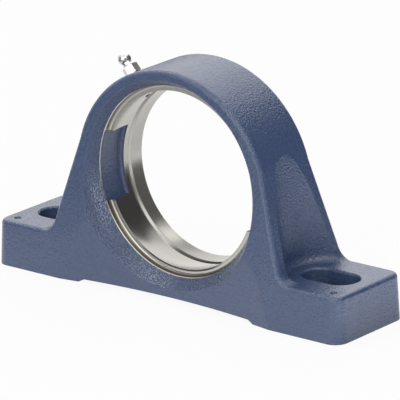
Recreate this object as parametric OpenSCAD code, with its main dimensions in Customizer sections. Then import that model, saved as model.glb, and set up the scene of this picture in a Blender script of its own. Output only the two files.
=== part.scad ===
// Pillow block housing for a self-aligning insert bearing.
// One drafted iron casting with a spherical seat, filling slots and a grease nipple.
// X runs along the foot, Y along the bore, Z up. The origin is under the bore on the base.

/* [Foot] */
// Length of the foot at the base
foot_length = 210; // [195:1:230]
// Width of the foot at the base
foot_width = 52; // [46:0.5:60]
// Height of the foot
foot_height = 22.5; // [18:0.5:27]
// Radius of the foot's upright corners
foot_corner_r = 7; // [5:0.5:10]
// Rounding of the foot's top edges
foot_edge_r = 2.2; // [1:0.1:3]
// Casting draft of the foot's sides, over its height
foot_taper = 1.2; // [0.5:0.1:2]

/* [Bolt slots] */
// Distance between the two slots
slot_spacing = 162; // [154:0.5:170]
// Width of a slot
slot_width = 17.5; // [14:0.5:20]
// Length of a slot, end to end
slot_length = 29.5; // [24:0.5:34]
// Chamfer round the slot's upper edge
slot_chamfer = 0.8; // [0.3:0.1:1.5]

/* [Ring and legs] */
// Height of the bore's axis over the base
bore_height = 57.2; // [54:0.1:62]
// Radius of the ring's outline
ring_r = 58; // [55:0.5:64]
// How far the outline's centre lies under the bore's axis
ring_drop = 3; // [0:0.5:5]
// Width of the ring
ring_width = 36.8; // [33:0.2:42]
// Lean of the legs from upright, in degrees
leg_lean = 17; // [12:0.5:22]
// Fillet between leg and foot
leg_fillet_r = 8.5; // [5:0.5:12]
// Rounding of the ring's and legs' outer edges
body_edge_r = 2.5; // [1:0.1:3.5]

/* [Waist] */
// Width of the base at its middle
waist_width = 40.8; // [38:0.2:45]
// Half the length over which the base draws in
waist_reach = 64; // [50:1:75]
// Depth of the relief under the base
relief_depth = 1.6; // [0.8:0.1:3]
// Half the length of the relief
relief_reach = 53.4; // [45:0.2:60]
// Length of the ramp at each end of the relief
relief_ramp = 3.2; // [1:0.1:5]

/* [Clearance pockets] */
// Radius of a pocket's floor, round the bolt head
pocket_r = 19.3; // [16:0.1:20]
// How far a pocket's centre lies inside the slot's centre
pocket_inset = 4.4; // [2:0.1:7]
// Draft of the pocket's wall, in degrees
pocket_draft = 3.9; // [2:0.1:6]
// Fillet between the pocket's wall and the foot
pocket_fillet_r = 4; // [2:0.5:6]

/* [Bearing seat] */
// Radius of the spherical seat
seat_r = 45; // [43:0.1:47]
// Width of the machined bore
bore_width = 27; // [25:0.2:30]
// Depth of the cover recess from the front of the bore
recess_depth = 2.7; // [2:0.1:4]
// How far the cover recess is wider than the seat, on the radius
recess_step = 1.8; // [1.2:0.1:2.4]
// Cove in the corner of the cover recess
recess_cove_r = 1.6; // [0.5:0.1:2]
// Chamfer on the bore's two machined edges
bore_chamfer = 0.4; // [0.2:0.1:0.8]
// Slope of the cast dish round the bore, in degrees from the axis
dish_angle = 31.5; // [25:0.5:40]
// Distance of the seat's groove behind the seat's middle
groove_offset = 4.2; // [3.6:0.1:7]
// Width of the seat's groove
groove_width = 2.4; // [1.5:0.1:3]
// Depth of the seat's groove
groove_depth = 0.7; // [0.3:0.1:1.2]

/* [Filling slots] */
// Height of a filling slot
fill_height = 34.6; // [30:0.2:37]
// How far a filling slot passes the seat's middle
fill_overrun = 1.8; // [0:0.1:2.2]
// Depth of the filling slot's floor behind the seat
fill_depth = 2.1; // [1:0.1:2.4]
// Cove at the inner end of a filling slot
fill_cove_r = 1.7; // [1:0.1:2.4]

/* [Grease nipple] */
// Lean of the nipple from upright, in degrees
nipple_lean = 42; // [35:1:50]
// Offset of the nipple from the ring's middle
nipple_offset = 3.5; // [0:0.5:5]
// Height of the hexagon over the ring, where the taper thread binds
nipple_standoff = 1.6; // [0.5:0.1:3]
// Diameter of the grease passage
passage_d = 2; // [1.6:0.1:3]
// Diameter of the nipple's shank
shank_d = 6; // [5:0.1:7]
// Length of the nipple's shank inside the ring
shank_length = 6; // [5:0.5:7]
// Width of the hexagon across its flats
hex_width = 7; // [6.8:0.1:9]
// Height of the hexagon
hex_height = 4.6; // [3:0.1:5]
// Turn of the hexagon about the nipple's axis, in degrees, as the thread left it
hex_turn = 32; // [0:1:60]
// Diameter of the nipple's neck
neck_d = 4.7; // [4.2:0.1:5.2]
// Diameter of the nipple's head
head_d = 6.3; // [6:0.1:7.2]
// Height of the nipple from the hexagon's underside
nipple_height = 11.3; // [10.8:0.1:14]
// Diameter of the nipple's mouth
mouth_d = 1.8; // [1.4:0.1:2]
// Diameter of the check ball
ball_d = 2.4; // [2.2:0.1:2.6]
// Diameter of the chamber that holds ball and spring
chamber_d = 2.9; // [2.7:0.1:3.1]
// Diameter of the spring wire
wire_d = 0.36; // [0.25:0.01:0.45]
// Number of turns in the spring
spring_turns = 10; // [6:1:12]

/* [Dowel dimples] */
// Diameter of a dimple
dimple_d = 3.8; // [2:0.1:5]
// Depth of a dimple
dimple_depth = 2.8; // [1:0.1:4]
// Distance of a dimple from the foot's end
dimple_end = 8.5; // [7:0.1:11]
// Distance of a dimple from the foot's front
dimple_front = 8; // [6:0.1:10]

/* [Hidden] */
$fn = 96;
iron_paint = "slategray";
bright_steel = "silver";

// Overlap that carries a cut past the face it opens
over = 1;
// Crossing depth that keeps a rounded edge from grazing its two faces
graze = 0.01;
// Sink of a fillet's foot into the face that it runs out on
sink = 0.05;
// Running clearance of the ball at its seat, and of the shank in its hole
ball_gap = 0.03;
shank_gap = 0.05;

half_length = foot_length / 2;
half_width = foot_width / 2;
half_top_width = half_width - foot_taper;

// Ring outline, and the points where the legs leave it
outline_z = bore_height - ring_drop;
leg_top_x = (ring_r - sink) * cos(leg_lean);
leg_top_z = outline_z + (ring_r - sink) * sin(leg_lean);
half_ring = ring_width / 2;
// Lower end of the legs, inside the foot
leg_root_z = foot_height / 2;
// Lean of the front and back faces between foot and ring
face_rise = leg_top_z - foot_height;
face_lean = atan2(half_top_width - half_ring, face_rise);
// Length that every cut through the part is sure to pass
far = foot_length;

// The foot's ends start just outside the waist, and overlap the middle
join = 2;
end_start = waist_reach + join;
// Arc that draws the base in at its middle
waist_depth = (foot_width - waist_width) / 2;
waist_r = (waist_reach * waist_reach + waist_depth * waist_depth) / (2 * waist_depth);

half_bore = bore_width / 2;
recess_r = seat_r + recess_step;
dish_r = recess_r + bore_chamfer;
lip_y = recess_depth - half_bore;
fill_r = seat_r + fill_depth;

// Nipple axis: distances are taken along it from the bore's axis
outline_reach = sqrt(ring_r * ring_r - pow(ring_drop * sin(nipple_lean), 2))
    - ring_drop * cos(nipple_lean);
hex_r = hex_width / 2 / cos(30);
nipple_seat = outline_reach + nipple_standoff;
shank_end = -shank_length - nipple_standoff;
tap_runout = 1;
tap_end = shank_end - tap_runout;
hex_chamfer = 0.5;
head_r = head_d / 2;
mouth_rim = 0.7;
mouth_flat_r = mouth_d / 2 + mouth_rim;
mouth_length = 0.35;
// The head is a ball cut flat at the mouth
head_z = nipple_height - sqrt(head_r * head_r - mouth_flat_r * mouth_flat_r);
neck_r = neck_d / 2;
neck_top_z = head_z - sqrt(head_r * head_r - neck_r * neck_r);
shoulder_height = 1;
chamber_r = chamber_d / 2;
// The ball lies under the mouth's inner edge, on a cone of 45 degrees
ball_r = ball_d / 2;
seat_cone_z = nipple_height - mouth_length;
ball_z = seat_cone_z + mouth_d / 2 - (ball_r + ball_gap) * sqrt(2);
chamber_top_z = seat_cone_z - (chamber_r - mouth_d / 2);
// A turned-in lip at the shank's end carries the spring
lip_length = 0.5;
lip_width = 0.6;
chamber_floor_z = shank_end + lip_length;
lip_r = chamber_r - lip_width;
// The spring stands clear of the floor and of the ball, and inside the ball's outline
spring_gap = 0.05;
spring_inset = 0.1;
spring_r = ball_r - wire_d / 2 - spring_inset;
spring_low = chamber_floor_z + wire_d / 2 + spring_gap;
spring_high = ball_z - sqrt(ball_r * ball_r - spring_r * spring_r) - wire_d / 2 - spring_gap;
WIRE_SIDES = 8;
RINGS_PER_TURN = 16;

function leg_x(z) = leg_top_x + (leg_top_z - z) * tan(leg_lean);
function foot_half_width(z) = half_width - foot_taper * z / foot_height;
function sphere_r(y) = sqrt(seat_r * seat_r - y * y);

// Region outside a circle that rounds the corner between two faces with the given normals
module corner_cutter(centre, r, n1, n2) {
    reach = r + over;
    difference() {
        polygon([centre, centre + reach * n1, centre + reach * (n1 + n2), centre + reach * n2]);
        translate(centre) circle(r = r + graze);
    }
}

// Drafted edge of the foot with its rounded top, from a corner's centre outward
module foot_edge_section() {
    draft = atan(foot_taper / foot_height);
    round_z = foot_height - foot_edge_r;
    round_x = foot_corner_r - round_z * tan(draft) - foot_edge_r / cos(draft);
    difference() {
        polygon([
            [0, 0], [foot_corner_r, 0], [foot_corner_r - foot_taper, foot_height], [0, foot_height]
        ]);
        corner_cutter([round_x, round_z], foot_edge_r, [cos(draft), sin(draft)], [0, 1]);
    }
}

// Ends of the foot: a block, a drafted edge on three sides and a turned quarter at each corner
module foot_ends() {
    long = half_length - foot_corner_r;
    wide = half_width - foot_corner_r;
    for (sx = [0, 1]) mirror([sx, 0, 0]) {
        translate([end_start, -wide, 0]) cube([long - end_start, 2 * wide, foot_height]);
        translate([long, 0, 0]) rotate([90, 0, 0])
            linear_extrude(2 * wide, center = true) foot_edge_section();
        for (sy = [0, 1]) mirror([0, sy, 0]) {
            translate([end_start, wide, 0]) rotate([90, 0, 90])
                linear_extrude(long - end_start) foot_edge_section();
            translate([long, wide, 0]) rotate_extrude(angle = 90) foot_edge_section();
        }
    }
}

// Middle of the foot, which the body covers
module foot_middle() {
    rotate([90, 0, 90]) linear_extrude(2 * (end_start + join), center = true)
        polygon([
            [-half_width, 0], [half_width, 0],
            [half_top_width, foot_height], [-half_top_width, foot_height]
        ]);
}

// Front outline of the ring, its legs and the fillets at the foot
module body_outline() {
    difference() {
        union() {
            translate([0, outline_z]) circle(r = ring_r);
            polygon([
                [-leg_x(leg_root_z), leg_root_z], [leg_x(leg_root_z), leg_root_z],
                [leg_top_x, leg_top_z], [-leg_top_x, leg_top_z]
            ]);
        }
        translate([-far / 2, leg_root_z - far]) square(far);
    }
    for (side = [0, 1]) mirror([side, 0]) leg_fillet();
}

// Centre of the fillet between leg and foot
fillet_z = foot_height + leg_fillet_r - sink;
fillet_x = leg_x(fillet_z) + (leg_fillet_r - sink) / cos(leg_lean);
fillet_touch = [
    fillet_x - (leg_fillet_r - sink) * cos(leg_lean), fillet_z - (leg_fillet_r - sink) * sin(leg_lean)
];

module leg_fillet() {
    difference() {
        polygon([
            [leg_x(leg_root_z) - over, leg_root_z], [fillet_x, leg_root_z], [fillet_x, fillet_z],
            fillet_touch, [fillet_touch[0] - over, fillet_touch[1]]
        ]);
        translate([fillet_x, fillet_z]) circle(r = leg_fillet_r);
    }
}

// Side section of the body: drafted with the foot, leaning in to the ring, then upright
module body_section() {
    top = outline_z + ring_r + over;
    wide = foot_half_width(leg_root_z);
    polygon([
        [-wide, leg_root_z], [wide, leg_root_z], [half_top_width, foot_height],
        [half_ring, leg_top_z], [half_ring, top], [-half_ring, top],
        [-half_ring, leg_top_z], [-half_top_width, foot_height]
    ]);
}

// Section of a cutter that rounds an edge whose faces are the two axes
module round_cutter(r) {
    corner_cutter([-r, -r], r, [1, 0], [0, 1]);
}

// Rounds the front edge of the ring's outline
module ring_edge_cutter() {
    translate([0, -half_ring, outline_z])
        rotate([90, 0, 0])
            rotate_extrude(angle = 180 - 2 * leg_lean, start = leg_lean)
                translate([ring_r, 0]) round_cutter(body_edge_r);
}

// Rounds the front edge of the right leg, where two leaning faces meet
module leg_edge_cutter() {
    face_n = [0, -cos(face_lean), sin(face_lean)];
    side_n = [cos(leg_lean), 0, sin(leg_lean)];
    along = cross(face_n, side_n);
    u = along / norm(along);
    v = cross(u, face_n);
    down = u[2] > 0 ? -1 : 1;
    // The cutter runs on a little at both ends, to meet the turned cutters there
    top = body_edge_r * sin(face_lean);
    length = (leg_top_z - fillet_touch[1]) / abs(u[2]) + top + sink;
    multmatrix([
        [v[0], face_n[0], down * u[0], leg_top_x], [v[1], face_n[1], down * u[1], -half_ring],
        [v[2], face_n[2], down * u[2], leg_top_z], [0, 0, 0, 1]
    ])
        translate([0, 0, -top]) linear_extrude(length) round_cutter(body_edge_r);
}

// Rounds the front edge of the right leg's fillet, in the plane of the leaning face
module fillet_edge_cutter() {
    depth = half_top_width - (fillet_z - foot_height) * tan(face_lean);
    translate([fillet_x, -depth, fillet_z])
        rotate([90 - face_lean, 0, 0])
            rotate_extrude(angle = 90 - leg_lean, start = 180 + leg_lean)
                translate([leg_fillet_r, 0]) mirror([1, 0]) round_cutter(body_edge_r);
}

module body_edge_cutters() {
    for (sy = [0, 1]) mirror([0, sy, 0]) {
        ring_edge_cutter();
        for (sx = [0, 1]) mirror([sx, 0, 0]) {
            leg_edge_cutter();
            fillet_edge_cutter();
        }
    }
}

// Drafted pocket over a bolt slot, for the bolt's head and washer
module bolt_pocket() {
    floor_z = foot_height - sink;
    top_z = outline_z + ring_r;
    wall_r = pocket_r + pocket_fillet_r * tan(pocket_draft);
    cove_x = wall_r - pocket_fillet_r / cos(pocket_draft);
    cove_z = floor_z + pocket_fillet_r;
    translate([slot_spacing / 2 - pocket_inset, 0, 0]) rotate_extrude() difference() {
        polygon([
            [0, floor_z], [pocket_r, floor_z],
            [pocket_r + (top_z - floor_z) * tan(pocket_draft), top_z], [0, top_z]
        ]);
        corner_cutter(
            [cove_x, cove_z], pocket_fillet_r, [cos(pocket_draft), -sin(pocket_draft)], [0, -1]
        );
    }
}

module body() {
    difference() {
        intersection() {
            rotate([90, 0, 0]) linear_extrude(foot_width, center = true) body_outline();
            rotate([90, 0, 90]) linear_extrude(far, center = true) body_section();
        }
        body_edge_cutters();
        for (sx = [0, 1]) mirror([sx, 0, 0]) bolt_pocket();
    }
}

// Upright cylinder that draws the front of the base in
module waist_cutter() {
    translate([0, -waist_width / 2 - waist_r, -over])
        cylinder(r = waist_r, h = leg_top_z, $fn = 720);
}

// Turns a profile of radius and distance along the bore about the bore's axis
module about_bore() {
    translate([0, 0, bore_height]) rotate([-90, 0, 0]) rotate_extrude() children();
}

// Cast dish from the machined bore out through the front or back face
module dish_profile() {
    reach = half_width - half_bore + over;
    polygon([
        [0, half_bore], [dish_r, half_bore],
        [dish_r + reach * tan(dish_angle), half_bore + reach], [0, half_bore + reach]
    ]);
}

// Machined bore: cover recess with a cove, spherical seat with its groove, back chamfer
module bore_profile() {
    cove_y = lip_y - recess_cove_r;
    cove_x = recess_r - recess_cove_r;
    groove_end = groove_offset + groove_width;
    groove_r = sphere_r(groove_offset) + groove_depth;
    back_y = half_bore - bore_chamfer;
    back_r = sphere_r(back_y);
    polygon([
        [0, -half_bore - over], [dish_r, -half_bore - over], [dish_r, -half_bore],
        [recess_r, bore_chamfer - half_bore], [recess_r, cove_y], [cove_x, lip_y], [0, lip_y]
    ]);
    translate([cove_x, cove_y]) circle(r = recess_cove_r);
    intersection() {
        circle(r = seat_r);
        translate([0, lip_y - over]) square([seat_r + over, half_bore - lip_y + over]);
    }
    polygon([
        [groove_r - 2 * groove_depth, groove_offset - groove_depth],
        [groove_r, groove_offset + groove_depth], [groove_r, groove_end - groove_depth],
        [groove_r - 2 * groove_depth, groove_end + groove_depth]
    ]);
    polygon([
        [0, back_y - over], [back_r - over, back_y - over],
        [back_r + bore_chamfer + over, half_bore + over], [0, half_bore + over]
    ]);
}

// Cast slots at both sides of the seat, through which the bearing is turned in
module filling_slots() {
    intersection() {
        about_bore() {
            polygon([
                [0, -half_width], [fill_r, -half_width], [fill_r, fill_overrun - fill_cove_r],
                [fill_r - fill_cove_r, fill_overrun], [0, fill_overrun]
            ]);
            translate([fill_r - fill_cove_r, fill_overrun - fill_cove_r]) circle(r = fill_cove_r);
        }
        translate([-far / 2, -far / 2, bore_height - fill_height / 2]) cube([far, far, fill_height]);
    }
}

// One bolt slot, chamfered at the top of the foot
module bolt_slot() {
    half = slot_width / 2;
    straight = slot_length - slot_width;
    translate([slot_spacing / 2, 0, 0]) {
        for (end = [-1, 1]) translate([end * straight / 2, 0, 0]) {
            translate([0, 0, -over]) cylinder(r = half, h = foot_height + 2 * over);
            translate([0, 0, foot_height - slot_chamfer])
                cylinder(r1 = half, r2 = half + slot_chamfer + over, h = slot_chamfer + over);
        }
        rotate([90, 0, 90]) linear_extrude(straight, center = true)
            polygon([
                [-half, -over], [half, -over], [half, foot_height - slot_chamfer],
                [half + slot_chamfer + over, foot_height + over],
                [-half - slot_chamfer - over, foot_height + over], [-half, foot_height - slot_chamfer]
            ]);
    }
}

// Shallow relief that leaves a machined pad at each end of the base
module base_relief() {
    low = relief_reach + relief_ramp * over / relief_depth;
    high = relief_reach - relief_ramp;
    rotate([90, 0, 0]) linear_extrude(far, center = true)
        polygon([[-low, -over], [low, -over], [high, relief_depth], [-high, relief_depth]]);
}

// Cast dimple that marks the place of a dowel
module dowel_dimple() {
    depth = dimple_depth + over;
    translate([half_length - dimple_end, dimple_front - half_width, foot_height - dimple_depth])
        cylinder(r1 = 0, r2 = dimple_d / 2 * depth / dimple_depth, h = depth);
}

// Frame of the nipple: Z along its axis, zero at the hexagon's underside
module at_nipple() {
    translate([0, nipple_offset, bore_height]) rotate([0, -nipple_lean, 0])
        translate([0, 0, nipple_seat]) children();
}

// Tapped hole and grease passage
module nipple_hole() {
    at_nipple() {
        translate([0, 0, tap_end]) cylinder(d = shank_d + 2 * shank_gap, h = over - tap_end);
        translate([0, 0, seat_r - over - nipple_seat])
            cylinder(d = passage_d, h = nipple_seat - seat_r + over);
    }
}

// Body and foot in one, drawn in at the waist
module casting() {
    foot_ends();
    difference() {
        union() {
            foot_middle();
            body();
        }
        for (sy = [0, 1]) mirror([0, sy, 0]) waist_cutter();
    }
}

module housing() {
    color(iron_paint) difference() {
        union() casting();
        for (sy = [0, 1]) mirror([0, sy, 0]) about_bore() dish_profile();
        about_bore() bore_profile();
        filling_slots();
        for (sx = [0, 1]) mirror([sx, 0, 0]) {
            bolt_slot();
            dowel_dimple();
        }
        base_relief();
        nipple_hole();
    }
}

// Outside of the nipple from its shank to the head
module nipple_outside() {
    translate([0, 0, shank_end]) cylinder(d = shank_d, h = over - shank_end);
    intersection() {
        rotate([0, 0, hex_turn]) cylinder(r = hex_r, h = hex_height, $fn = 6);
        rotate_extrude() polygon([
            [0, -over], [hex_r + 2 * over, -over], [hex_r + 2 * over, hex_height - hex_chamfer - over],
            [hex_r - 2 * hex_chamfer - 2 * over, hex_height + over], [0, hex_height + over]
        ]);
    }
    translate([0, 0, hex_height - over])
        cylinder(r = neck_r, h = neck_top_z - hex_height + 2 * over);
    translate([0, 0, hex_height - sink])
        cylinder(r1 = hex_width / 2 - hex_chamfer, r2 = neck_r - sink, h = shoulder_height);
    intersection() {
        translate([0, 0, head_z]) sphere(r = head_r);
        translate([0, 0, nipple_height - head_d]) cylinder(r = head_d, h = head_d);
    }
}

// Bore of the nipple: lip, chamber, ball seat and mouth
module nipple_inside() {
    rotate_extrude() polygon([
        [0, shank_end - over], [lip_r, shank_end - over], [lip_r, chamber_floor_z],
        [chamber_r, chamber_floor_z], [chamber_r, chamber_top_z], [mouth_d / 2, seat_cone_z],
        [mouth_d / 2, nipple_height + over], [0, nipple_height + over]
    ]);
}

module nipple_body() {
    color(bright_steel) at_nipple() difference() {
        nipple_outside();
        nipple_inside();
    }
}

module nipple_ball() {
    color(bright_steel) at_nipple() translate([0, 0, ball_z]) sphere(r = ball_r);
}

// Helix of round wire between the chamber's floor and the ball
module nipple_spring() {
    steps = spring_turns * RINGS_PER_TURN;
    points = [
        for (i = [0 : steps], k = [0 : WIRE_SIDES - 1])
            let (
                turn = 360 * i / RINGS_PER_TURN,
                side = 360 * k / WIRE_SIDES,
                r = spring_r + wire_d / 2 * cos(side),
                z = spring_low + (spring_high - spring_low) * i / steps + wire_d / 2 * sin(side)
            )
            [r * cos(turn), r * sin(turn), z]
    ];
    ends = [
        [for (k = [0 : WIRE_SIDES - 1]) k],
        [for (k = [WIRE_SIDES - 1 : -1 : 0]) steps * WIRE_SIDES + k]
    ];
    walls = [
        for (i = [0 : steps - 1], k = [0 : WIRE_SIDES - 1])
            let (a = i * WIRE_SIDES + k, b = i * WIRE_SIDES + (k + 1) % WIRE_SIDES)
            [a, a + WIRE_SIDES, b + WIRE_SIDES, b]
    ];
    color(bright_steel) at_nipple() polyhedron(points, concat(ends, walls));
}

housing();
nipple_body();
nipple_ball();
nipple_spring();
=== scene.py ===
import math

import bpy
import numpy as np
from mathutils import Matrix, Vector


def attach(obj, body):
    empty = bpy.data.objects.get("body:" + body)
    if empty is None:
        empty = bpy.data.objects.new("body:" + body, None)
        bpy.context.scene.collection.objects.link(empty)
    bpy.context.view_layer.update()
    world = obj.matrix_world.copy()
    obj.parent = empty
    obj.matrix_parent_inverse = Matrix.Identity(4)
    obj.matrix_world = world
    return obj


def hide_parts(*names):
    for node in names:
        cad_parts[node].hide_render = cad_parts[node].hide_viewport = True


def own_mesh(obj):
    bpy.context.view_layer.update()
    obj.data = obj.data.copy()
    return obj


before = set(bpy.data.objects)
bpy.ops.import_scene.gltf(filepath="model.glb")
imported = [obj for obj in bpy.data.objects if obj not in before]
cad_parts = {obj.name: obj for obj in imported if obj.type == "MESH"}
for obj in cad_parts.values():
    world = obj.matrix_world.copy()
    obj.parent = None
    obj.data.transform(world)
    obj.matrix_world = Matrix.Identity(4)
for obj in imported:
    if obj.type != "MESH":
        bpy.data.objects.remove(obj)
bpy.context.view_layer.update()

SCENE = bpy.context.scene
SCENE.view_settings.view_transform = "Standard"

# Sizes of the casting that the finishes follow, in millimetres; the bore's axis runs along y
MM = 1000.0
BORE_HEIGHT = 57.2
HALF_BORE = 13.5
SEAT_R = 45.0
PAINT_EDGE_R = 47.2
DISH_SLOPE = 0.613
CHAMFER_END = -13.05
SCRAPED_END = -12.9
LIP_Y = -10.8
LIP_R = 44.5
RECESS_BROWN_R = 46.05
GROOVE_Y = 5.4
GROOVE_HALF_WIDTH = 1.35
FILL_HALF_HEIGHT = 17.3
FILL_END = 1.8
PASSAGE_R = 1.0
FOOT_END = 104.0
CAST_DEPTH = 0.12
EDGE_ROUNDING = 0.8

# Ramps between finishes, in millimetres: the place of a ramp's middle, and the ramp's width.
# The first five are heights over the bore's axis.
# Below this height the iron is painted darker, as painted shade
LOW_SHADE_RAMP = (0, 70)
RECESS_BROWN_RAMP = (25, 50)
# Heights below which painted shade darkens the groove and the lip
GROOVE_SHADE_RAMP = (-41, 3)
LIP_SHADE_RAMP = (-38, 4)
DULL_RAMP = (20, 10)
# The top edge of the pale specks painted as glints, and the edges of their two thick patches
GLINT_TOP = (-5, 12)
LEFT_PATCH_X, LEFT_PATCH_R = (-39, 5), (50.4, 1.5)
LOW_PATCH_TOP, LOW_PATCH_START, LOW_PATCH_END = (-39, 6), (-23, 16), (0, 10)
# Widths of the ramps at edges that a tool has cut
CRISP, SHARP = 0.1, 0.05

# The nipple, in millimetres. Its axis meets the bore's axis at NIPPLE_OFFSET, and the heights on it
# count from the start of its hexagon, which is HEX_START from there.
NIPPLE_LEAN = math.radians(42)
NIPPLE_OFFSET = 3.5
HEX_START = 57.336
BARE_SHANK = 1.6
SHANK_R = 3.0
SPRING_R = 0.92
SPRING_LOW, SPRING_HIGH = -6.87, 9.04
SPRING_TURNS = 10
WIRE_D = 0.36

# Where the lamps point, in metres
MIDDLE = (0, 0, 0.055)


class Socket:
    """One output of a node, with arithmetic that adds Math nodes."""

    def __init__(self, nodes, output):
        self.nodes, self.output = nodes, output

    def math(self, operation, *others, clamp=False):
        values = dict(enumerate((self, *others)))
        return self.nodes.add("ShaderNodeMath", {"operation": operation, "use_clamp": clamp}, values)

    def __add__(self, other):
        return self.math("ADD", other)

    def __radd__(self, other):
        return self.math("ADD", other)

    def __sub__(self, other):
        return self.math("SUBTRACT", other)

    def __rsub__(self, other):
        return self.math("MULTIPLY_ADD", -1.0, other)

    def __mul__(self, other):
        return self.math("MULTIPLY", other)

    def __rmul__(self, other):
        return self.math("MULTIPLY", other)

    def __abs__(self):
        return self.math("ABSOLUTE")

    def root(self):
        return self.math("SQRT")

    def larger(self, other):
        return self.math("MAXIMUM", other)

    def over(self, edge, soft):
        """0 below the edge and 1 above it, with a ramp of the given width between."""
        return (self - (edge - soft / 2)).math("DIVIDE", soft, clamp=True)

    def under(self, edge, soft):
        return 1 - self.over(edge, soft)


class Nodes:
    """The node tree of a material or of the world, filled by calls."""

    def __init__(self, owner):
        owner.use_nodes = True
        self.tree = owner.node_tree
        self.tree.nodes.clear()

    def add(self, kind, settings=None, inputs=None, output=0):
        """A node with its settings and its inputs, which are constants or other nodes' sockets."""
        made = self.tree.nodes.new(kind)
        for key, value in (settings or {}).items():
            setattr(made, key, value)
        for key, value in (inputs or {}).items():
            if isinstance(value, Socket):
                self.tree.links.new(value.output, made.inputs[key])
            else:
                made.inputs[key].default_value = value
        return Socket(self, made.outputs[output]) if made.outputs else None

    def place(self):
        return self.add("ShaderNodeTexCoord", output="Object")

    def axes(self, place):
        """The three parts of a place, in millimetres."""
        split = self.add("ShaderNodeSeparateXYZ", inputs={0: place}).output.node
        return [Socket(self, part) * MM for part in split.outputs]

    def noise(self, place, size, detail=2.0, rough=0.5, stretch=(1, 1, 1)):
        """Noise from 0 to 1 whose features are about size millimetres across, drawn out by stretch."""
        scaled = self.add("ShaderNodeVectorMath", {"operation": "MULTIPLY"}, {0: place, 1: stretch})
        inputs = {"Vector": scaled, "Scale": MM / size, "Detail": detail, "Roughness": rough}
        return self.add("ShaderNodeTexNoise", {}, inputs)

    def colour(self, factor, first, second):
        inputs = {"Factor": factor, 6: first, 7: second}
        return self.add("ShaderNodeMix", {"data_type": "RGBA"}, inputs, output=2)

    def seen(self):
        """1 for rays from the camera, a mirror or a glass, and 0 for light that falls on things."""
        path = self.add("ShaderNodeLightPath").output.node.outputs
        rays = [Socket(self, path[f"Is {kind} Ray"]) for kind in ("Camera", "Glossy", "Transmission")]
        return rays[0].larger(rays[1]).larger(rays[2])


def srgb(red, green, blue):
    """A colour written as it looks on screen, from 0 to 255, as linear light."""
    part = np.array([red, green, blue]) / 255
    linear = np.where(part <= 0.04045, part / 12.92, ((part + 0.055) / 1.055) ** 2.4)
    return (*linear.tolist(), 1.0)


PAINT = srgb(62, 80, 117), srgb(70, 88, 124)
# Darker paint for the grain's hollows, as painted shade
PAINT_SHADED_IN_PITS = srgb(46, 60, 92)
# Pale paint for specks that are painted glints on the dish
PAINTED_GLINTS = srgb(180, 189, 206)
IRON = srgb(186, 184, 179), srgb(206, 204, 199)
# Darker iron for the lower bore, as painted shade
IRON_IN_SHADE = srgb(140, 138, 132)
# A darker brown for the outer corner of the cover recess, below its top
RECESS_BROWN = srgb(100, 94, 78)
# Dark colour for the groove and the lip, as painted shade
EDGE_SHADE = srgb(60, 58, 53)
# Near black for the nipple's passage, as painted shade in the hole
HOLE_SHADE = srgb(22, 21, 20)
PLATING = srgb(214, 213, 211), srgb(232, 231, 228)
BALL_STEEL = srgb(196, 197, 199), srgb(220, 221, 222)
WIRE_STEEL = srgb(128, 128, 132), srgb(176, 176, 178)


def principled(name, build):
    """A material with one Principled shader, whose inputs the build function returns by name."""
    material = bpy.data.materials.new(name)
    nodes = Nodes(material)
    shader = nodes.add("ShaderNodeBsdfPrincipled", {}, build(nodes))
    nodes.add("ShaderNodeOutputMaterial", {}, {0: shader})
    return material


class Spot:
    """A place on the casting, and its distances from the bore's axis and from the seat's middle."""

    def __init__(self, nodes):
        self.place = nodes.place()
        self.x, self.y, self.z = nodes.axes(self.place)
        self.up = self.z - BORE_HEIGHT
        self.radius = (self.x * self.x + self.up * self.up).root()
        self.reach = (self.radius * self.radius + self.y * self.y).root()


def machined(nodes, spot):
    """1 where the boring tool and the face mill have cut; the paint ends there in a ragged edge."""
    ragged = (nodes.noise(spot.place, size=1.3) - 0.5) * 0.3
    bored = (spot.radius + ragged).under(PAINT_EDGE_R - 0.04, 0.06)
    bored = bored * abs(spot.y).under(HALF_BORE + 0.06, 0.04)
    # The filling slots are as cast
    filling = (
        abs(spot.up).under(FILL_HALF_HEIGHT + 0.2, SHARP) * spot.y.under(FILL_END + 0.3, SHARP)
        * spot.y.over(SCRAPED_END, CRISP) * spot.reach.over(SEAT_R + 0.12, SHARP)
    )
    milled = spot.z.under(0.03, 0.02)
    return (bored * (1 - filling)).larger(milled)


def cast_relief(nodes, spot, bare, dish, grain):
    """The sand's marks and soft edges where the casting is painted, and turning marks on bare iron."""
    # A slow roll, the sand's grain and its finest roughness
    roll, fine = nodes.noise(spot.place, size=7.0), nodes.noise(spot.place, size=0.45)
    skin = roll * 0.6 + grain * 3.2 + fine
    # The dish came from a core, whose sand left it rougher, and the foot's ends lay in coarser sand
    ends = abs(spot.x).over(FOOT_END, 1)
    skin = skin * (1 + dish * 0.8 + ends * 0.5)
    # Turning marks run round the bore, so they change along it only
    turned = nodes.noise(spot.place, size=0.4, rough=0.6, stretch=(0.02, 1, 0.02))
    soft = nodes.add("ShaderNodeBevel", {"samples": 6}, {"Radius": EDGE_ROUNDING / MM})
    sharp = nodes.add("ShaderNodeNewGeometry", output="Normal")
    edges = nodes.add("ShaderNodeMix", {"data_type": "VECTOR"}, {0: bare, 4: soft, 5: sharp}, output=1)
    height = skin * (1 - bare) + turned * bare * 0.08
    bumps = {"Strength": 1.0, "Distance": CAST_DEPTH / MM, "Normal": edges, "Height": height}
    return nodes.add("ShaderNodeBump", {}, bumps)


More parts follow.
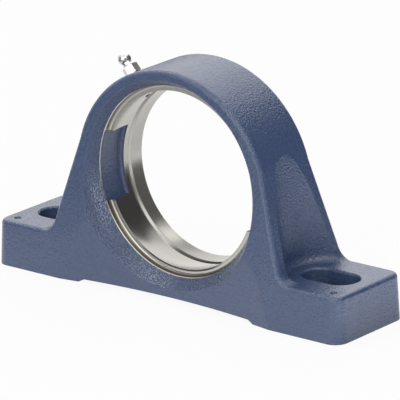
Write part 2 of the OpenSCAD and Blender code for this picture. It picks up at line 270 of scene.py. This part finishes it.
def blue_paint(nodes, spot, dish, grain):
    """Paint that varies slowly, with painted shade between the grains and pale specks on the dish as painted
    glints.
    """
    cloud = nodes.noise(spot.place, size=38.0, detail=3.0)
    # The grain's hollows get darker paint, as painted shade
    shaded_pits = grain.under(0.45, 0.2)
    paint = nodes.colour(shaded_pits * 0.4, nodes.colour(cloud, *PAINT), PAINT_SHADED_IN_PITS)
    # Pale specks on the sharpest grains of the dish's lower half, most of all at two places, are painted
    # glints
    glints = dish * nodes.noise(spot.place, size=0.5).over(0.57, 0.06) * spot.up.under(*GLINT_TOP)
    thin = nodes.noise(spot.place, size=22.0).over(0.5, 0.2) * 0.2
    left = spot.x.under(*LEFT_PATCH_X) * spot.radius.under(*LEFT_PATCH_R)
    low = spot.up.under(*LOW_PATCH_TOP) * spot.x.over(*LOW_PATCH_START) * spot.x.under(*LOW_PATCH_END)
    return nodes.colour(glints * thin.larger(left).larger(low) * 0.7, paint, PAINTED_GLINTS)


def off_nipple_axis(spot):
    """How far a place is off the nipple's axis, and how far along it from the bore's axis."""
    along = spot.up * math.cos(NIPPLE_LEAN) - spot.x * math.sin(NIPPLE_LEAN)
    beside = spot.y - NIPPLE_OFFSET
    off = (spot.x * spot.x + beside * beside + spot.up * spot.up - along * along).root()
    return off, along


def bare_iron(nodes, spot):
    """Machined iron: its colour, its roughness, and the share of its metal shine that dust takes."""
    y, up = spot.y, spot.up
    streak = nodes.noise(spot.place, size=0.8, detail=3.0, rough=0.6, stretch=(0.15, 1, 0.15))
    groove = abs(y - GROOVE_Y).under(GROOVE_HALF_WIDTH, CRISP) * spot.reach.over(SEAT_R + 0.1, CRISP)
    land = y.over(GROOVE_Y + GROOVE_HALF_WIDTH, CRISP)
    recess = y.over(CHAMFER_END, CRISP) * y.under(LIP_Y + 0.1, CRISP) * abs(up).over(FILL_HALF_HEIGHT, SHARP)
    lip = recess * spot.radius.under(LIP_R, 0.2)

    # Beside the groove the iron is painted darker towards the bottom of the bore, as painted shade, and the
    # outer corner of the cover recess is a darker brown below its top
    low_shade = up.under(*LOW_SHADE_RAMP) * y.over(LIP_Y + 0.15, CRISP) * (1 - groove)
    recess_brown = recess * spot.radius.over(RECESS_BROWN_R, 0.5) * up.under(*RECESS_BROWN_RAMP)
    # Painted shade darkens the bottom of the seat's groove and the lip in front of the seat
    edge_shade = (groove * up.under(*GROOVE_SHADE_RAMP)).larger(lip * up.under(*LIP_SHADE_RAMP))
    # The passage to the nipple and a ring round its mouth are painted near black, as painted shade in the
    # hole
    off, along = off_nipple_axis(spot)
    passage = off.under(PASSAGE_R + 0.7, 0.2) * along.over(SEAT_R - 1, 0.5)
    colour = nodes.colour(streak, *IRON)
    layers = (low_shade * 0.75, IRON_IN_SHADE), (recess_brown * 0.9, RECESS_BROWN), (edge_shade * 0.9, EDGE_SHADE), (passage, HOLE_SHADE)
    for cover, layer in layers:
        colour = nodes.colour(cover, colour, layer)

    # Groove and recess are dull at the top, and dry dust lies in the groove and on the land behind it
    dull = groove.larger(recess) * up.over(*DULL_RAMP)
    rough = 0.2 + streak * 0.1 + recess_brown * 0.1 + lip * 0.3 + dull * 0.25
    dust = groove.larger(land) * 0.24
    return colour, rough, dust


def painted_casting(nodes):
    """Blue-grey paint on cast skin, and bare machined iron in the bore and under the feet."""
    spot = Spot(nodes)
    bare = machined(nodes, spot)
    cone_edge = HALF_BORE * DISH_SLOPE - PAINT_EDGE_R
    dish = (abs(spot.y) * DISH_SLOPE - spot.radius).over(cone_edge - 0.3, 0.3)
    grain = nodes.noise(spot.place, size=0.95, rough=0.45)
    iron, iron_rough, dust = bare_iron(nodes, spot)
    paint_rough = 0.13 + grain * 0.12
    return {
        "Base Color": nodes.colour(bare, blue_paint(nodes, spot, dish, grain), iron),
        "Metallic": bare * (1 - dust),
        "IOR": 1.7,
        "Roughness": paint_rough * (1 - bare) + iron_rough * bare,
        "Normal": cast_relief(nodes, spot, bare, dish, grain),
    }


def bright_plating(nodes):
    """Zinc-plated turned steel, slightly uneven."""
    place = nodes.place()
    cloud = nodes.noise(place, size=2.5, detail=3.0)
    bumps = {"Strength": 0.6, "Distance": 0.03 / MM, "Height": nodes.noise(place, size=0.8)}
    return {
        "Base Color": nodes.colour(cloud, *PLATING),
        "Metallic": 1.0,
        "Roughness": 0.25 + cloud * 0.12,
        "Normal": nodes.add("ShaderNodeBump", {}, bumps),
    }


def hard_ball(nodes):
    """Polished bearing steel with a faint cloud."""
    cloud = nodes.noise(nodes.place(), size=0.9)
    colour = nodes.colour(cloud, *BALL_STEEL)
    return {"Base Color": colour, "Metallic": 1.0, "Roughness": 0.08 + cloud * 0.06}


def spring_wire(nodes):
    """Drawn wire, darker, with fine scale."""
    scale = nodes.noise(nodes.place(), size=0.3, detail=3.0)
    colour = nodes.colour(scale, *WIRE_STEEL)
    return {"Base Color": colour, "Metallic": 1.0, "Roughness": 0.25 + scale * 0.15}


def dress(node, material):
    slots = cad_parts[node].data.materials
    slots.clear()
    slots.append(material)


def linked(name, vertices, faces):
    mesh = bpy.data.meshes.new(name)
    mesh.from_pydata(np.asarray(vertices).tolist(), [], faces)
    made = bpy.data.objects.new(name, mesh)
    SCENE.collection.objects.link(made)
    return made


def on_nipple(radius, turn, height):
    """Places in metres, from a distance off the nipple's axis, turns round it and a height on it."""
    lean_sin, lean_cos = math.sin(NIPPLE_LEAN), math.cos(NIPPLE_LEAN)
    out, along = radius * np.cos(2 * np.pi * turn), HEX_START + height
    x = out * lean_cos - along * lean_sin
    y = radius * np.sin(2 * np.pi * turn) + NIPPLE_OFFSET
    z = out * lean_sin + along * lean_cos + BORE_HEIGHT
    return np.stack([x, y, z], axis=-1) / MM


def swept(name, points):
    """A closed profile carried along a path: rows of the points are profiles, and the ends are capped."""
    count, corners = points.shape[:2]
    row, corner = np.meshgrid(np.arange(count - 1), np.arange(corners), indexing="ij")
    after = (corner + 1) % corners
    walls = np.stack([
        row * corners + corner, (row + 1) * corners + corner,
        (row + 1) * corners + after, row * corners + after,
    ], axis=-1).reshape(-1, 4).tolist()
    first = np.arange(corners)
    last = first[::-1] + (count - 1) * corners
    return linked(name, points.reshape(-1, 3), walls + [first.tolist(), last.tolist()])


def shank_thread():
    """Thread on the bare part of the nipple's shank.

    The ridge's middle is a helix round the nipple's axis. Across it, the ridge has two flanks and a
    flat crest, and its height fades to nothing over a quarter turn at each end.
    """
    pitch, crest, turns, per_turn, sunk, clear = 0.75, 0.28, 1.5, 64, 0.1, 0.22
    width, run_out = 0.9 * pitch, 0.25
    turn = np.linspace(0, turns, int(turns * per_turn) + 1)[:, None]
    fade = np.clip(np.minimum(turn, turns - turn) / run_out, 0, 1)
    across = np.array([-0.5, -0.1, 0.1, 0.5]) * width
    rise = np.array([0, 1, 1, 0])
    radius = SHANK_R - sunk + fade * (crest + sunk) * rise
    return swept("shank_thread", on_nipple(radius, turn, clear - BARE_SHANK + across + pitch * turn))


def coil_spring():
    """Spring behind the check ball.

    The wire's middle is a helix round the nipple's axis. It rises by just over one wire in its first
    and its last turn, as closed ends do, and evenly between them. The wire's section is round.
    """
    per_turn, sides, closed = 32, 12, 1.06 * WIRE_D
    turn = np.linspace(0, SPRING_TURNS, SPRING_TURNS * per_turn + 1)[:, None]
    ends = [SPRING_LOW, SPRING_LOW + closed, SPRING_HIGH - closed, SPRING_HIGH]
    middle = np.interp(turn, [0, 1, SPRING_TURNS - 1, SPRING_TURNS], ends)
    side = np.linspace(0, 2 * np.pi, sides, endpoint=False)
    radius, height = SPRING_R + WIRE_D / 2 * np.cos(side), middle + WIRE_D / 2 * np.sin(side)
    spring = swept("coil_spring", on_nipple(radius, turn, height))
    spring.data.shade_smooth()
    return spring


def pale_floor():
    """White to the camera and in mirrors, matte to the light, with the object's shadow kept."""
    material = bpy.data.materials.new("pale_floor")
    nodes = Nodes(material)
    whiteness = 0.92
    matte = nodes.add("ShaderNodeBsdfDiffuse", {}, {"Color": (0.9, 0.9, 0.9, 1)})
    white = nodes.add("ShaderNodeEmission", {}, {"Color": (1, 1, 1, 1), "Strength": 1.0})
    mixed = nodes.add("ShaderNodeMixShader", {}, {0: nodes.seen() * whiteness, 1: matte, 2: white})
    nodes.add("ShaderNodeOutputMaterial", {}, {0: mixed})
    # The floor lies a hair under the feet, so the two don't share a plane
    half, level = 6.0, -0.0003
    corners = [(x, y, level) for x, y in ((-half, -half), (half, -half), (half, half), (-half, half))]
    floor = linked("floor", corners, [(0, 1, 2, 3)])
    floor.data.materials.append(material)


def studio_world(light):
    """An even pale room, seen as white."""
    world = bpy.data.worlds.new("studio")
    SCENE.world = world
    nodes = Nodes(world)
    room = {"Color": (1, 1, 1, 1), "Strength": nodes.seen() * (1 - light) + light}
    nodes.add("ShaderNodeOutputWorld", {}, {0: nodes.add("ShaderNodeBackground", {}, room)})


def softbox(name, place, wide, high, power, aim=MIDDLE):
    """An area lamp that faces the housing, or what it is aimed at; the camera doesn't see it."""
    lamp = bpy.data.lights.new(name, "AREA")
    lamp.shape, lamp.size, lamp.size_y, lamp.energy = "RECTANGLE", wide, high, power
    box = bpy.data.objects.new(name, lamp)
    box.location = place
    box.rotation_euler = (Vector(aim) - Vector(place)).to_track_quat("-Z", "Y").to_euler()
    box.visible_camera = False
    SCENE.collection.objects.link(box)


def dark_cloth(name, azimuths, reaches, heights):
    """A dull cloth that only reflections show, as it darkens the steel in a studio.

    Its edges are arcs round the housing, from the first reach and height to the second, and it runs
    straight between them: flat on the floor, or upright as a curtain. A pair for a height is the
    edge's height at the two azimuths, with an even slope between.
    """
    steps = 24
    angle = np.linspace(*np.radians(azimuths), steps + 1)
    points = []
    for reach, height in zip(reaches, heights):
        level = np.linspace(*np.broadcast_to(height, 2), steps + 1)
        points.append(np.stack([reach * np.cos(angle), reach * np.sin(angle), level], axis=-1))
    first = np.arange(steps)
    faces = np.stack([first, first + 1, first + steps + 2, first + steps + 1], axis=-1)
    cloth = linked(name, np.vstack(points), faces.tolist())
    cloth.data.materials.append(principled(name, lambda nodes: {"Base Color": (0.08, 0.08, 0.08, 1)}))
    for ray in ("camera", "diffuse", "transmission", "volume_scatter", "shadow"):
        setattr(cloth, f"visible_{ray}", False)


def photo_camera():
    """The camera of the photograph: a long lens, right of the front and a little above."""
    azimuth, elevation, roll = (math.radians(a) for a in (39.41, 17.79, -1.27))
    focal_px, frame_px, sensor_mm = 4568.0, 400.0, 36.0
    place = Vector((1.31103, -1.59144, 0.70626))
    level_back = Vector((math.sin(azimuth), -math.cos(azimuth), 0))
    back = math.cos(elevation) * level_back + math.sin(elevation) * Vector((0, 0, 1))
    level = Vector((0, 0, 1)).cross(back).normalized()
    rise = back.cross(level)
    right = math.cos(roll) * level + math.sin(roll) * rise
    up = math.cos(roll) * rise - math.sin(roll) * level
    data = bpy.data.cameras.new("photo_camera")
    data.sensor_width = sensor_mm
    data.lens = focal_px / frame_px * sensor_mm
    data.clip_start, data.clip_end = 0.1, 50.0
    camera = bpy.data.objects.new("photo_camera", data)
    camera.matrix_world = Matrix.Translation(place) @ Matrix((right, up, back)).transposed().to_4x4()
    SCENE.collection.objects.link(camera)
    SCENE.camera = camera


plating = principled("bright_plating", bright_plating)
dress("housing", principled("painted_casting", painted_casting))
dress("nipple_body", plating)
dress("nipple_ball", principled("hard_ball", hard_ball))
thread = shank_thread()
thread.data.materials.append(plating)
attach(thread, "block")

# In the nipple the ball pushes the spring together and the end at the shank's lip stays; the spring is built
# at one length
spring = coil_spring()
spring.data.materials.append(principled("spring_wire", spring_wire))
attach(spring, "block")
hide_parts("nipple_spring")
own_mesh(spring)

pale_floor()
studio_world(light=0.45)
softbox("overhead", place=(0.21, 0.53, 1.22), wide=0.45, high=0.4, power=1.1)
softbox("back_left", place=(-0.91, 1.09, 0.95), wide=2.0, high=1.4, power=7.0)
softbox("left_spot", place=(-0.6, 0.0, 1.2), wide=0.24, high=0.24, power=1.8)
softbox("front", place=(0.2, -1.4, 0.65), wide=1.7, high=1.2, power=9.2)
softbox("upper_right", place=(0.62, -0.28, 1.05), wide=0.22, high=0.22, power=1.6)
softbox("right_card", place=(0.23, 0.06, 0.001), wide=0.22, high=0.3, power=0.16, aim=(0.23, 0.06, 1))
dark_cloth("right_curtain", azimuths=(-5, 93), reaches=(1.6, 1.6), heights=(0.002, (3.2, 1.1)))
dark_cloth("back_cloth", azimuths=(-5, 165), reaches=(0.25, 4.0), heights=(0.002, 0.002))
dark_cloth("front_cloth", azimuths=(-175, -85), reaches=(0.2, 0.9), heights=(0.002, 0.002))
dark_cloth("left_curtain", azimuths=(-165, -112), reaches=(1.8, 1.8), heights=(0.05, 1.0))
dark_cloth("camera_curtain", azimuths=(-88, -22), reaches=(2.6, 2.6), heights=(0.2, 2.2))
photo_camera()
